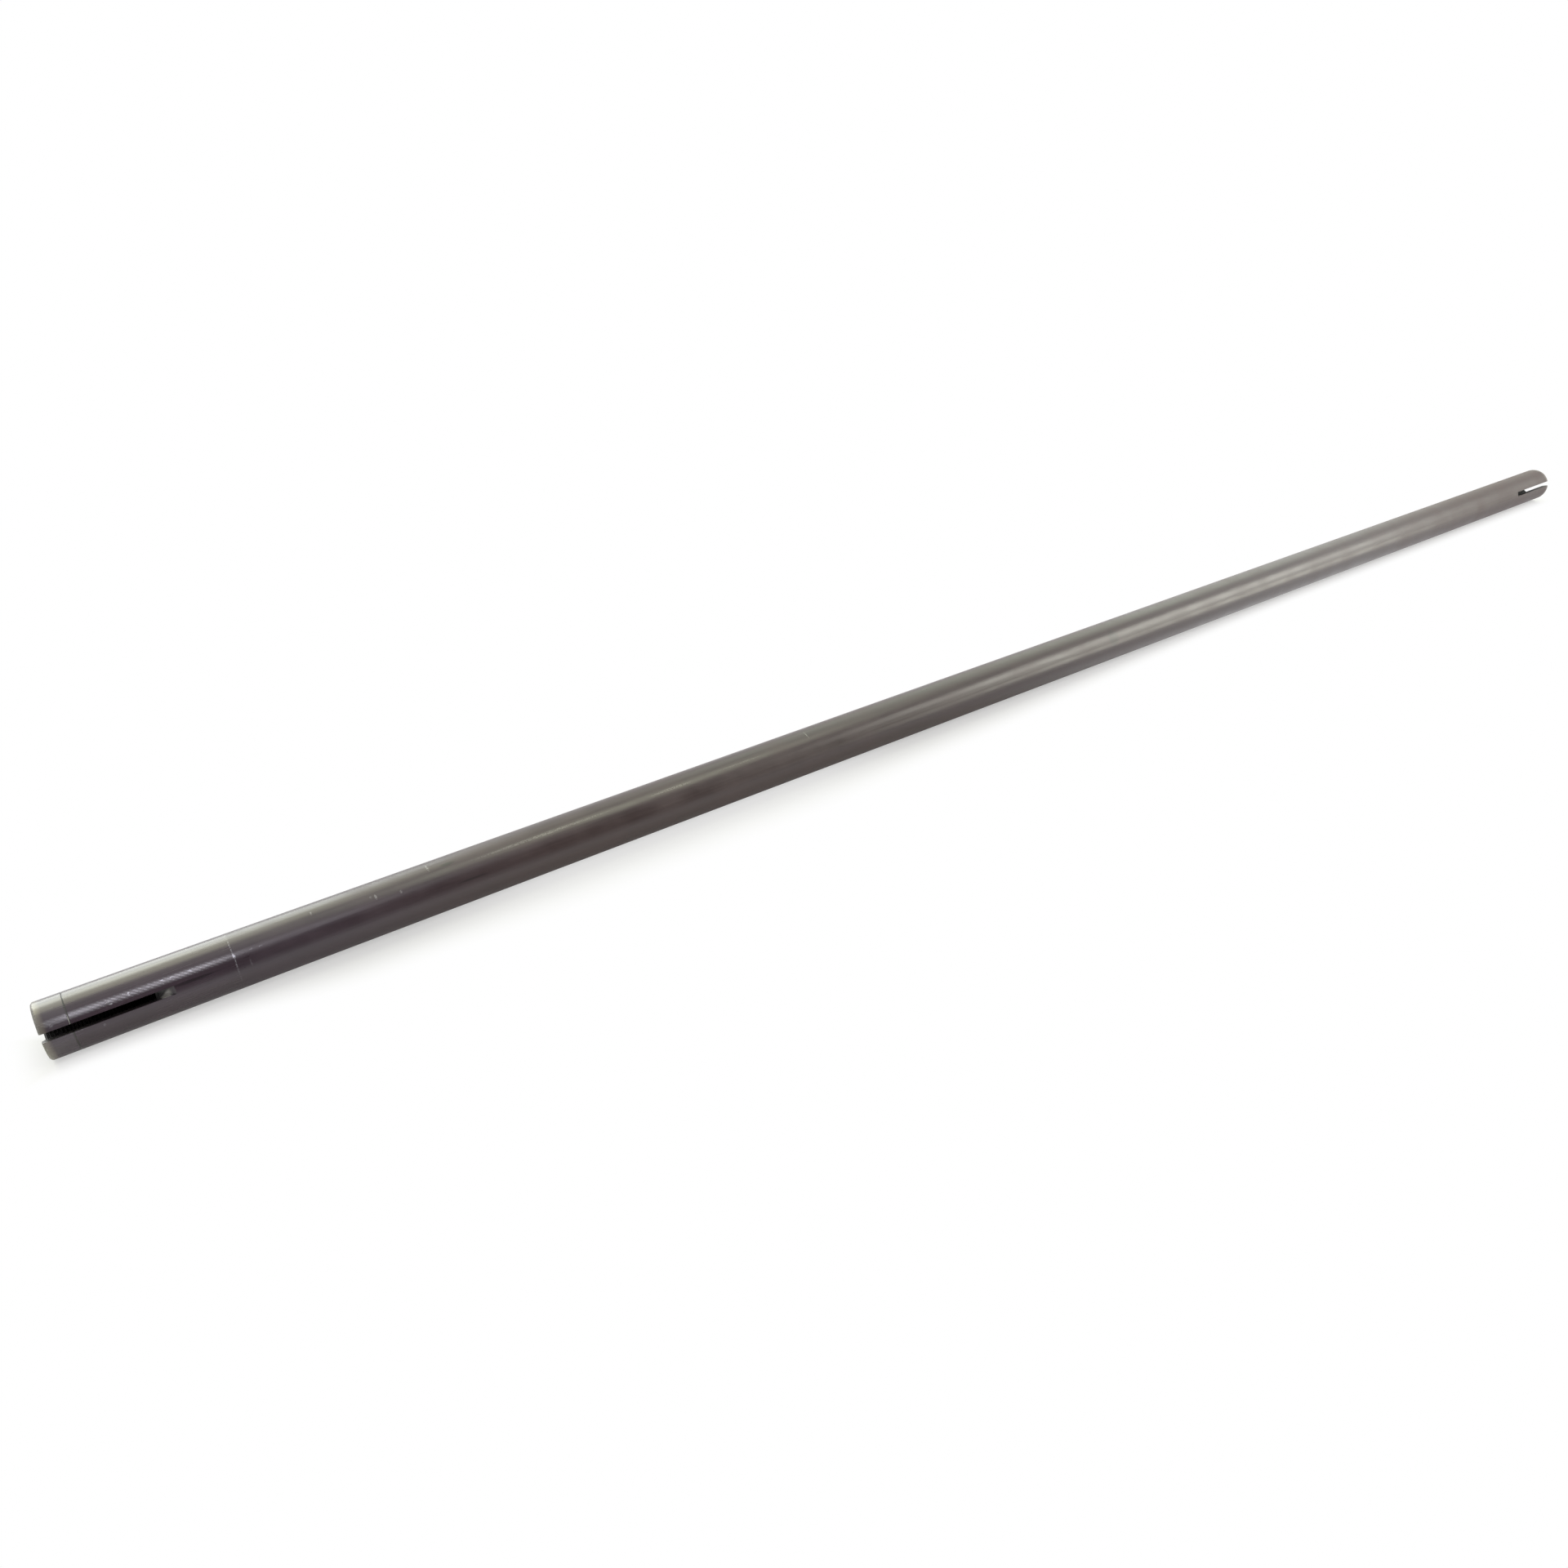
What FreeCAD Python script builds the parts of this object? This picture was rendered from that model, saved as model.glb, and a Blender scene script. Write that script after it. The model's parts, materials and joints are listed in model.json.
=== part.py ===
import FreeCAD, Part
import math
import os

# Tie rod tube for a steering linkage, in millimetres.
# The tube lies along X with its middle at the origin, and +Z is up as it lies on a floor.
# Both ends are tapped inside and sawn through the wall on one side, so that they can be squeezed
# onto the threaded rod ends that screw into them.

# Driving sizes of the drawn tube
tube_length = 1181.1
outside_diameter = 25.4
wall_thickness = 4.7625

# Driving sizes of the tapped ends, which take a thread of this size and pitch
thread_major_diameter = 17.4625
thread_pitch = 25.4 / 18
thread_length = 76.2

# Driving sizes of the edges
outer_chamfer = 0.8
mouth_clearance = 0.25

# Driving sizes of the slot at each end, left by a round cutter fed in from the end
slot_width = 3.7
slot_length = 50.8
cutter_diameter = 76.2
cutter_overlap = 3.0
left_slot_angle = 26.5
right_slot_angle = 23.0

# Sizes that follow
outside_radius = outside_diameter / 2
bore_radius = outside_radius - wall_thickness
half_length = tube_length / 2
# A 60 degree thread has its pitch diameter this share of a pitch under its major diameter
pitch_diameter_drop = 3 * math.sqrt(3) / 8
tapped_radius = (thread_major_diameter - pitch_diameter_drop * thread_pitch) / 2
mouth_radius = thread_major_diameter / 2 + mouth_clearance
mouth_chamfer = mouth_radius - tapped_radius
tap_runout = tapped_radius - bore_radius
cutter_radius = cutter_diameter / 2
slot_depth = wall_thickness + cutter_overlap
slot_floor = outside_radius - slot_depth
cutter_reach = math.sqrt(cutter_radius ** 2 - (cutter_radius - slot_depth) ** 2)
cutter_stop = half_length - slot_length + cutter_reach
# The cutter starts clear of the tube, its hub one radius off the end
cutter_travel = half_length + cutter_radius - cutter_stop


def tube_section():
    """Return the half section of the tube, a closed face in the XZ plane above the axis."""
    outside_right = [
        (half_length - outer_chamfer, outside_radius),
        (half_length, outside_radius - outer_chamfer),
    ]
    inside_right = [
        (half_length, mouth_radius),
        (half_length - mouth_chamfer, tapped_radius),
        (half_length - thread_length, tapped_radius),
        (half_length - thread_length - tap_runout, bore_radius),
    ]
    right = outside_right + inside_right
    left = [(-x, z) for x, z in reversed(right)]
    outline = [FreeCAD.Vector(x, 0, z) for x, z in right + left]
    return Part.Face(Part.makePolygon(outline + outline[:1]))


def slot_cutter():
    """Return the space that the cutter sweeps at the +X end, standing on the slot's floor."""
    across = FreeCAD.Vector(0, 1, 0)
    side = -slot_width / 2
    hub = FreeCAD.Vector(cutter_stop, side, slot_floor + cutter_radius)
    disc = Part.makeCylinder(cutter_radius, slot_width, hub, across)
    corner = FreeCAD.Vector(cutter_stop, side, slot_floor)
    feed = Part.makeBox(cutter_travel, slot_width, cutter_radius, corner)
    return disc.fuse(feed)


def both_end_slots():
    """Return the cutters of both ends, each turned about the tube's axis to its slot's angle."""
    middle = FreeCAD.Vector(0, 0, 0)
    along = FreeCAD.Vector(1, 0, 0)
    right = slot_cutter()
    left = right.mirror(middle, along)
    right.rotate(middle, along, 90.0 - right_slot_angle)
    left.rotate(middle, along, 90.0 - left_slot_angle)
    return [left, right]


def tube():
    """Return the finished tube: turned and bored in one revolution, then slotted at both ends."""
    blank = tube_section().revolve(FreeCAD.Vector(0, 0, 0), FreeCAD.Vector(1, 0, 0), 360)
    return blank.cut(both_end_slots()).removeSplitter()


os.makedirs("parts", exist_ok=True)
solid = tube()
solid.exportStep("parts/tube.step")
print("tube: valid", solid.isValid(), "solids", len(solid.Solids), "volume mm3", round(solid.Volume, 1))
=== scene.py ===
"""Looks of the tie rod tube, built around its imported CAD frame."""

import json
import logging
import math
from collections.abc import Callable, Sequence
from dataclasses import dataclass, field
from enum import Enum
from functools import reduce
from itertools import pairwise

import bpy
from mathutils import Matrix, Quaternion, Vector


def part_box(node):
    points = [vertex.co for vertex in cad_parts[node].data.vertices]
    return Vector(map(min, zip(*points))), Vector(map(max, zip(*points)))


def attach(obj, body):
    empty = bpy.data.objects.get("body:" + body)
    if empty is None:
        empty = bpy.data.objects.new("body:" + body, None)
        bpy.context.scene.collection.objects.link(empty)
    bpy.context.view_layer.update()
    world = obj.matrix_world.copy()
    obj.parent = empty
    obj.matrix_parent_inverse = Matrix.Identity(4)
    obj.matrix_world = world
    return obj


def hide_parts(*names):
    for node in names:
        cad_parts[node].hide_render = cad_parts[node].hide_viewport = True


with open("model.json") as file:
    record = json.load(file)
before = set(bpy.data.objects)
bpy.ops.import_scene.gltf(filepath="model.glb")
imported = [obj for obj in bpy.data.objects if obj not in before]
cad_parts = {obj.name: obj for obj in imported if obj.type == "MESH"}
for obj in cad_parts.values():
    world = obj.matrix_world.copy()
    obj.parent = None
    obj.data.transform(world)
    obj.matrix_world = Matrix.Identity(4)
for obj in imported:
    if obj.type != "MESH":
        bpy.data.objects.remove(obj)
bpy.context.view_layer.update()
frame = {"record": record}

LOG = logging.getLogger("tie_rod_tube")

# The units in which the sizes below are written, in Blender's metres and radians
MM = 0.001
DEGREE = math.radians(1.0)
QUARTER_TURN = math.pi / 2

# The photograph's frame, in pixels, and the sensor width that its lens length is given for
IMAGE_SIDE = 1920
SENSOR_WIDTH = 36.0

# A sharp 60 degree thread form: its flank's angle, and its height as a share of the pitch
FLANK_ANGLE = 30.0 * DEGREE
SHARP_HEIGHT = math.sqrt(3) / 2

# Shares of that height from the pitch radius out to the roots and in to the crests, and the
# width of a flat root as a share of the pitch
ROOT_HEIGHT = 3 / 8
CREST_HEIGHT = 1 / 4
ROOT_WIDTH = 1 / 8

# How near two corners lie that are joined: those of any mesh, and those of a screw's turns
JOINED = 0.0005 * MM
TURNS_JOINED = 0.001 * MM

# What noise is on average
NOISE_MIDDLE = 0.5

Point = tuple[float, float, float]
Colour = tuple[float, float, float]
Piece = bpy.types.Object
Node = bpy.types.Node
Socket = bpy.types.NodeSocket

WHITE: Colour = (1.0, 1.0, 1.0)


class End(Enum):
    """The two ends of the tube, by the side of the origin that they lie on."""

    LEFT = -1
    RIGHT = 1

    @property
    def side(self) -> int:
        """The sign of X at this end."""
        return self.value

    @property
    def turn(self) -> int:
        """The sign of the turn that carries this end's helix along +X: negative is left-handed."""
        return self.value


def grey(level: float) -> Colour:
    """Return the colour without a tint that is as bright as the level."""
    return (level, level, level)


def mount(name: str) -> dict:
    """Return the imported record's entry for the mount of that name."""
    return next(entry for entry in frame["record"]["mounts"] if entry["name"] == name)


@dataclass(frozen=True)
class Fade:
    """A smooth change of a value from 0 to 1.

    Attributes:
        start: Where it is 0.
        stop: Where it is 1; it may lie below start.
    """

    start: float
    stop: float


@dataclass(frozen=True)
class Pattern:
    """Smooth noise over the surface.

    Attributes:
        stretch: The size of a blotch along X, Y and Z, in millimetres.
        detail: How many finer layers are added.
        roughness: How strong the finer layers are.
    """

    stretch: Point
    detail: float = 2.0
    roughness: float = 0.5


class Value:
    """A number or a vector on a shader socket, on which Python's own arithmetic adds Math nodes."""

    def __init__(self, graph: "Graph", socket: Socket) -> None:
        """Wrap an output socket of a node in the graph."""
        self.graph = graph
        self.socket = socket

    def __add__(self, other: "Value | float") -> "Value":
        """Return self + other."""
        return self.graph.math("ADD", self, other)

    __radd__ = __add__

    def __sub__(self, other: "Value | float") -> "Value":
        """Return self - other."""
        return self.graph.math("SUBTRACT", self, other)

    def __rsub__(self, other: float) -> "Value":
        """Return other - self."""
        return self.graph.math("SUBTRACT", other, self)

    def __mul__(self, other: "Value | float") -> "Value":
        """Return self * other."""
        return self.graph.math("MULTIPLY", self, other)

    __rmul__ = __mul__

    def __truediv__(self, other: "Value | float") -> "Value":
        """Return self / other."""
        return self.graph.math("DIVIDE", self, other)

    def __neg__(self) -> "Value":
        """Return the value with its sign turned."""
        return self.graph.math("MULTIPLY", self, -1.0)

    def __abs__(self) -> "Value":
        """Return the value without its sign."""
        return self.graph.math("ABSOLUTE", self)


class Graph:
    """The node graph of one material or of the world."""

    def __init__(self, owner: "bpy.types.Material | bpy.types.World") -> None:
        """Start with an empty graph.

        Args:
            owner: The material or world that the graph belongs to.
        """
        owner.use_nodes = True
        self.owner = owner
        self.tree = owner.node_tree
        self.tree.nodes.clear()

    def node(self, kind: str, inputs: dict | None = None, **settings: str) -> Node:
        """Add a node, set it up and feed its sockets.

        Args:
            kind: The node's Blender type.
            inputs: Socket names or places, each with a value, a Value or a socket to link.
            settings: Properties to set before the sockets, such as an operation.

        Returns:
            The new node.
        """
        node = self.tree.nodes.new(kind)
        for key, setting in settings.items():
            setattr(node, key, setting)
        for key, given in (inputs or {}).items():
            self.feed(node.inputs[key], given)
        return node

    def feed(self, socket: Socket, given: "Value | Socket | float | tuple") -> None:
        """Link or set one input socket.

        Args:
            socket: The input socket.
            given: What it takes; a colour may come without its alpha.
        """
        if isinstance(given, Value):
            self.tree.links.new(given.socket, socket)
        elif isinstance(given, Socket):
            self.tree.links.new(given, socket)
        elif socket.type == "RGBA" and len(given) == len(WHITE):
            socket.default_value = (*given, 1.0)
        else:
            socket.default_value = given

    def value(self, node: Node, output: str | int = 0) -> Value:
        """Return one output of a node, by its name or place, wrapped."""
        return Value(self, node.outputs[output])

    def math(self, operation: str, *terms: "Value | float") -> Value:
        """Return the result of one Math node over its inputs, in order."""
        return self.value(self.node("ShaderNodeMath", dict(enumerate(terms)), operation=operation))

    def most(self, *values: Value) -> Value:
        """Return the greatest of several values."""
        return reduce(lambda first, second: self.math("MAXIMUM", first, second), values)

    def swing(self, noise: Value, share: float) -> Value:
        """Return how far noise lies from its middle, times a share."""
        return share * (noise - NOISE_MIDDLE)

    def scale(self, vector: Value, factor: "Value | float") -> Value:
        """Return a vector or a colour with all its parts times a factor."""
        inputs = {0: vector, "Scale": factor}
        return self.value(self.node("ShaderNodeVectorMath", inputs, operation="SCALE"))

    def mix(self, low: "Value | Colour", high: "Value | Colour", factor: "Value | float") -> Value:
        """Blend two colours.

        Args:
            low: The colour where factor is 0.
            high: The colour where factor is 1.
            factor: The share of the second colour.

        Returns:
            The blended colour.
        """
        node = self.node("ShaderNodeMix", data_type="RGBA")
        named = {socket.identifier: socket for socket in node.inputs}
        self.feed(named["Factor_Float"], factor)
        self.feed(named["A_Color"], low)
        self.feed(named["B_Color"], high)
        return Value(self, next(socket for socket in node.outputs if socket.identifier == "Result_Color"))

    def ramp(self, given: Value, fade: Fade) -> Value:
        """Turn a value smoothly from 0 to 1.

        Args:
            given: The value to follow.
            fade: Where the result is 0 and where it is 1.

        Returns:
            The smooth step.
        """
        low, high = sorted((fade.start, fade.stop))
        inputs = {"Value": given, "From Min": low, "From Max": high}
        step = self.value(self.node("ShaderNodeMapRange", inputs, interpolation_type="SMOOTHSTEP"))
        return step if fade.start == low else 1.0 - step

    def noise(self, place: Value, pattern: Pattern) -> Value:
        """Add smooth noise over the surface.

        Args:
            place: The place on the surface, in millimetres.
            pattern: The noise's size and layers.

        Returns:
            The noise, near 0.5 on average.
        """
        scale = tuple(1.0 / size for size in pattern.stretch)
        stretched = self.node("ShaderNodeMapping", {"Vector": place, "Scale": scale})
        inputs = {
            "Vector": stretched.outputs[0],
            "Scale": 1.0,
            "Detail": pattern.detail,
            "Roughness": pattern.roughness,
        }
        return self.value(self.node("ShaderNodeTexNoise", inputs), "Fac")

    def seen_straight(self) -> Value:
        """Return 1 for the rays that leave the camera and 0 for all others."""
        return self.value(self.node("ShaderNodeLightPath"), "Is Camera Ray")

    def seen_otherwise(self) -> Value:
        """Return 1 for glossy and transmission rays and 0 for all others."""
        path = self.node("ShaderNodeLightPath")
        return self.most(self.value(path, "Is Glossy Ray"), self.value(path, "Is Transmission Ray"))


@dataclass(frozen=True)
class Surface:
    """Where a point of the skin lies, in millimetres and degrees, for the finish to follow.

    Attributes:
        graph: The graph that the values belong to.
        outside: The tube's outer radius.
        place: The point, measured from the middle of the left end.
        from_left: Distance along the tube from the left end.
        from_right: Distance along the tube from the right end.
        from_end: Distance along the tube from the nearer end.
        depth: Distance under the outer radius.
        angle: Angle round the tube, up from level on the -Y side.
        grain: The finest grain, which breaks marks up.
    """

    graph: Graph
    outside: float
    place: Value
    from_left: Value
    from_right: Value
    from_end: Value
    depth: Value
    angle: Value
    grain: Value

    @classmethod
    def measure(cls, graph: Graph, length: float, outside: float, grain: Pattern) -> "Surface":
        """Work the values out from the object's own coordinates.

        Args:
            graph: The material's graph.
            length: The tube's length, in millimetres.
            outside: The tube's outer radius, in millimetres.
            grain: The finest grain.

        Returns:
            The measured surface.
        """
        coordinates = graph.node("ShaderNodeTexCoord")
        inputs = {
            "Vector": coordinates.outputs["Object"],
            "Location": (length / 2, 0.0, 0.0),
            "Scale": (1 / MM, 1 / MM, 1 / MM),
        }
        place = graph.value(graph.node("ShaderNodeMapping", inputs))
        split = graph.node("ShaderNodeSeparateXYZ", {0: place})
        x, y, z = (graph.value(split, axis) for axis in "XYZ")
        from_right = length - x
        return cls(
            graph=graph,
            outside=outside,
            place=place,
            from_left=x,
            from_right=from_right,
            from_end=graph.math("MINIMUM", x, from_right),
            depth=outside - graph.math("SQRT", y * y + z * z),
            angle=graph.math("ARCTAN2", z, -y) / DEGREE,
            grain=graph.noise(place, grain),
        )


@dataclass(frozen=True)
class Mark:
    """A small knock, scratch, stain or painted dark reflection on the dark skin.

    Attributes:
        along: Distance from the left end, in millimetres.
        angle: Angle round the tube, in degrees up from level on the -Y side.
        length: Size along the tube, in millimetres.
        width: Size round the tube, in millimetres.
        strength: How much bare metal, a stain or a painted dark reflection shows, from 0 to 1.
        edge: How the oval ends, in shares of its half length and half width.
    """

    along: float
    angle: float
    length: float
    width: float
    strength: float
    edge: Fade = Fade(1.2, 0.4)

    def draw(self, surface: Surface) -> Value:
        """Draw the mark as a soft oval.

        Args:
            surface: The measured surface.

        Returns:
            How strong it is, from 0 to its strength.
        """
        along = (surface.from_left - self.along) / (self.length / 2)
        arc = (surface.angle - self.angle) * (surface.outside * DEGREE / (self.width / 2))
        distance = surface.graph.math("SQRT", along * along + arc * arc)
        return surface.graph.ramp(distance, self.edge) * self.strength


@dataclass(frozen=True)
class ScribedRing:
    """The thin bright ring that a tool left at the inner end of the turned stretch.

    Attributes:
        place: Distance from the left end, in millimetres.
        width: How the ring fades to both sides, in millimetres.
        upper: How it grows brighter upwards, a painted highlight, in degrees up from level.
        top: How it ends over the top, in degrees up from level.
        broken: How the grain breaks it into dots.
        strength: How much bare metal shows in a dot.
        knock: The bright knock that lies on it.
    """

    place: float
    width: Fade = Fade(0.4, 0.15)
    upper: Fade = Fade(-15.0, 46.0)
    top: Fade = Fade(88.0, 78.0)
    broken: Fade = Fade(0.42, 0.6)
    strength: float = 0.5
    knock: Mark = Mark(75.9, 48.5, 1.4, 2.6, 0.9)

    def draw(self, surface: Surface) -> Value:
        """Draw the ring.

        Args:
            surface: The measured surface.

        Returns:
            How much bare metal shows, from 0 to 1.
        """
        graph = surface.graph
        near = graph.ramp(abs(surface.from_left - self.place), self.width)
        # Painted highlight: the ring grows brighter upwards, towards where the light catches it
        upper = graph.ramp(surface.angle, self.upper)
        top = graph.ramp(surface.angle, self.top)
        dots = graph.ramp(surface.grain, self.broken)
        return graph.most(near * upper * top * dots * self.strength, self.knock.draw(surface) * dots)


@dataclass(frozen=True)
class RubbedEndsAndFirstHighlight:
    """The rims at both ends, rubbed by handling, and a faint painted highlight in bare metal over
    the first stretch of the left end.

    Attributes:
        groove_place: Where the first stretch ends, in millimetres from the left end.
        outer: How the marks give way under the outer radius, in millimetres of depth.
        rim: How it fades from the rim inwards, in millimetres from the end.
        rim_share: How much bare metal shows on the rim between its speckles.
        speckles: How the grain makes the rim's speckles.
        speckle_share: How much more shows in a speckle.
        beside: How the softer rubbing beside the rim fades, in millimetres from the end.
        beside_share: How much bare metal shows there.
        first: How the faint painted highlight of the first stretch ends, in millimetres past the groove.
        first_highlight_share: How much bare metal shows there, as painted highlight.
    """

    groove_place: float
    outer: Fade = Fade(1.2, 0.8)
    rim: Fade = Fade(1.6, 0.6)
    rim_share: float = 0.15
    speckles: Fade = Fade(0.45, 0.6)
    speckle_share: float = 0.5
    beside: Fade = Fade(4.4, 0.6)
    beside_share: float = 0.32
    first: Fade = Fade(0.0, -0.6)
    first_highlight_share: float = 0.05

    def draw(self, surface: Surface) -> Value:
        """Draw the rubbed rims and the first stretch's painted highlight.

        Args:
            surface: The measured surface.

        Returns:
            How much bare metal shows, from 0 to 1.
        """
        graph = surface.graph
        outer = graph.ramp(surface.depth, self.outer)
        speckled = self.rim_share + self.speckle_share * graph.ramp(surface.grain, self.speckles)
        rim = graph.ramp(surface.from_end, self.rim) * speckled
        beside = graph.ramp(surface.from_end, self.beside) * self.beside_share
        # Painted highlight over the first stretch of the left end
        first = graph.ramp(surface.from_left - self.groove_place, self.first) * self.first_highlight_share
        return outer * graph.most(rim, beside, first)


@dataclass(frozen=True)
class ChatterAndHighlightStrip:
    """The fine slanted ticks above the left slot, on a strip of painted highlight.

    Attributes:
        pitch: Distance from tick to tick along the tube, in millimetres.
        slant: How far a tick leans along the tube for each millimetre round it.
        angle: The middle of the strip, where the highlight falls, in degrees up from level.
        strip: How the strip fades to both sides, in degrees.
        along: How it fades along the tube, in millimetres from the left end.
        ticks: Which part of a wave from -1 to 1 is a tick.
        broken: How the grain breaks the ticks up.
        evened: How the ticks give way to an even painted sheen, in millimetres from the left end.
        sheen: How much bare metal shows between the ticks, as painted highlight.
        even_sheen: How much more shows where they are evened out.
        tick_share: How much more shows in a tick.
        even_tick_loss: How much of that is lost where they are evened out.
    """

    pitch: float = 2.1
    slant: float = 1.4
    angle: float = 50.0
    strip: Fade = Fade(9.0, 3.0)
    along: Fade = Fade(84.0, 56.0)
    ticks: Fade = Fade(-0.2, 1.0)
    broken: Fade = Fade(0.35, 0.6)
    evened: Fade = Fade(30.0, 10.0)
    sheen: float = 0.08
    even_sheen: float = 0.14
    tick_share: float = 0.34
    even_tick_loss: float = 0.20

    def draw(self, surface: Surface) -> Value:
        """Draw the strip of painted highlight with its ticks.

        Args:
            surface: The measured surface.

        Returns:
            How much bare metal shows, from 0 to 1.
        """
        graph = surface.graph
        arc = surface.angle * (surface.outside * DEGREE)
        phase = (surface.from_left + arc * self.slant) * (math.tau / self.pitch)
        ticks = graph.ramp(graph.math("SINE", phase), self.ticks) * graph.ramp(surface.grain, self.broken)
        along = graph.ramp(surface.from_left, self.along)
        # The strip follows the highlight band: its bare metal is painted highlight, the ticks are real
        strip = graph.ramp(abs(surface.angle - self.angle), self.strip)
        even = graph.ramp(surface.from_left, self.evened)
        sheen = self.sheen + self.even_sheen * even
        return (sheen + (self.tick_share - self.even_tick_loss * even) * ticks) * along * strip


@dataclass(frozen=True)
class SawRunOut:
    """The bright steel where the saw ran out at the inner end of each slot, a painted highlight
    where the run-out floor catches the light.

    Attributes:
        left_angle: The middle of the left slot, in degrees up from level.
        right_angle: The middle of the right slot, in degrees up from level.
        sides: How the mark ends to the slot's sides, in degrees from its middle.
        upper: How it fades upwards into painted shade, in degrees from the slot's middle.
        start: How it starts, in millimetres from the end of the tube.
        slant: How much nearer to the end it starts for each degree down, in millimetres: a painted shade.
        stop: How it fades out again, in millimetres from the end of the tube.
        below: How it gives way to the skin at the outer radius, in millimetres of depth.
        strength: How much bare metal shows at most.
    """

    left_angle: float
    right_angle: float
    sides: Fade = Fade(18.0, 13.0)
    upper: Fade = Fade(10.0, -4.0)
    start: Fade = Fade(46.2, 47.8)
    slant: float = 0.1902
    stop: Fade = Fade(49.8, 47.8)
    below: Fade = Fade(0.05, 0.6)
    strength: float = 0.75

    def draw(self, surface: Surface) -> Value:
        """Draw the bright steel and painted highlight of both slots.

        Args:
            surface: The measured surface.

        Returns:
            How much bare metal shows, from 0 to 1.
        """
        graph = surface.graph
        at_right = graph.math("GREATER_THAN", surface.from_left, surface.from_right)
        over = surface.angle - self.left_angle - (self.right_angle - self.left_angle) * at_right
        sides = graph.ramp(abs(over), self.sides)
        upper = graph.ramp(over, self.upper)
        start = graph.ramp(surface.from_end - self.slant * over, self.start)
        stop = graph.ramp(surface.from_end, self.stop)
        return start * stop * sides * upper * graph.ramp(surface.depth, self.below) * self.strength


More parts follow.
